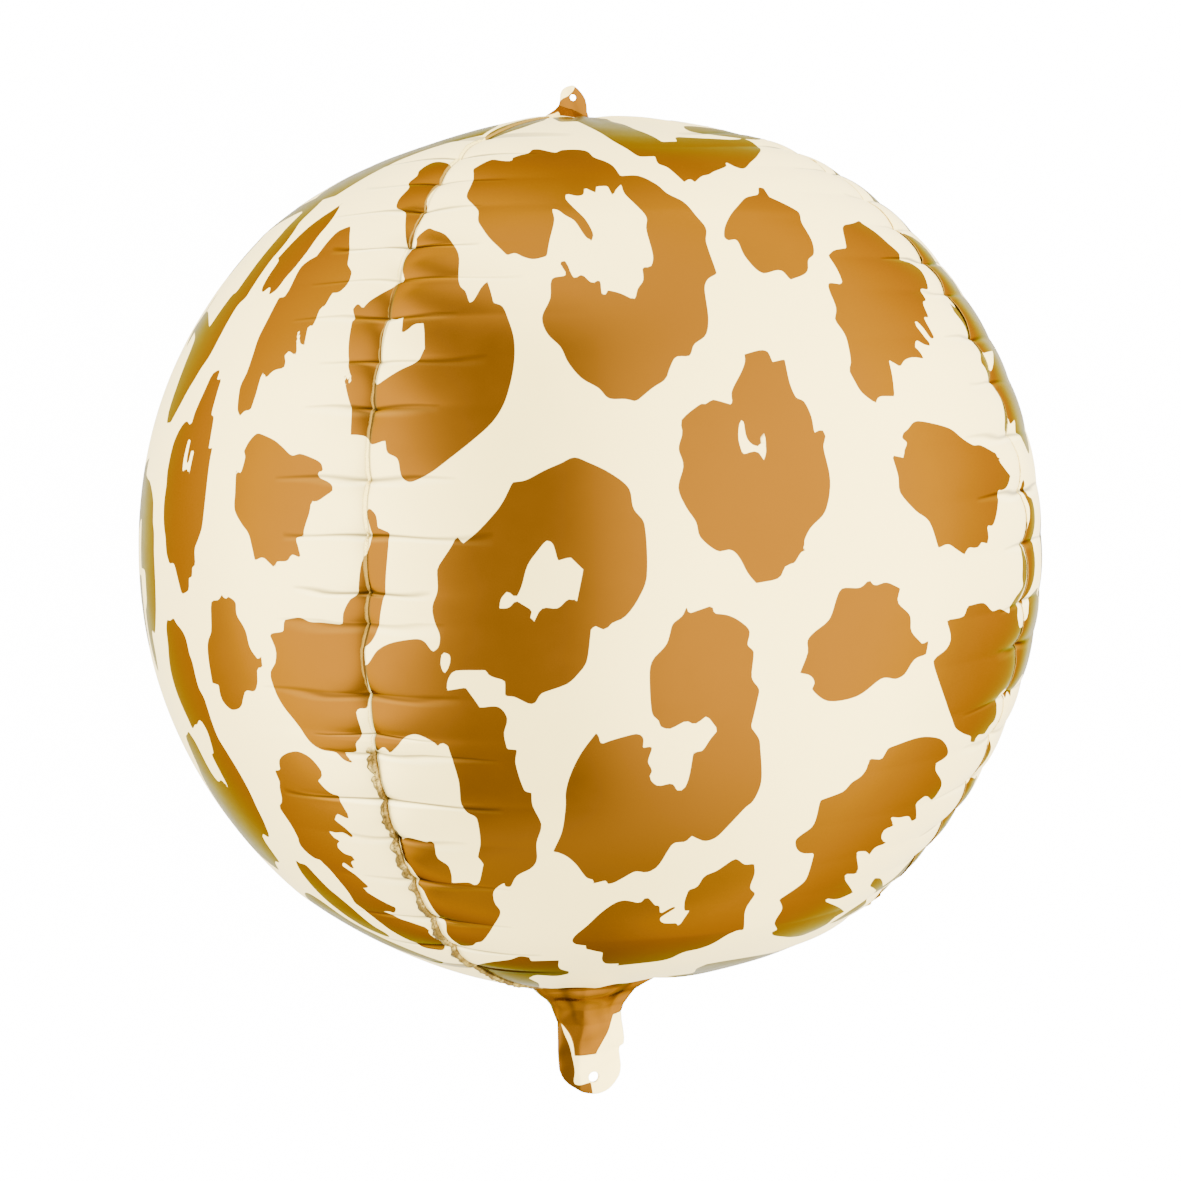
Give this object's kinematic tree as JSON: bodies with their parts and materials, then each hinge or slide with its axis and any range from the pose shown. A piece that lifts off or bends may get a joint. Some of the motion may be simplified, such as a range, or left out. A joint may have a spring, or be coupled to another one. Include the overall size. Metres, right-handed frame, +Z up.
{
  "type": "sphere foil balloon",
  "caption": "Inflated ball-shaped foil balloon of welded gores with a cream and ochre leopard spot print, a hanging tab and a flat filling neck, lying on its side.",
  "frame": {"origin": "centre of the flat spot on which the balloon lies, at floor level", "axes": "+Y from the filling neck to the hanging tab along the balloon's axis, +Z up, +X level across the balloon"},
  "size_m": [0.399, 0.4603, 0.3966],
  "materials": {
    "printed_foil": "satin metallised film, cream with ochre-brown spots"
  },
  "bodies": {
    "root": {"foil_envelope": "printed_foil"}
  },
  "joints": []
}
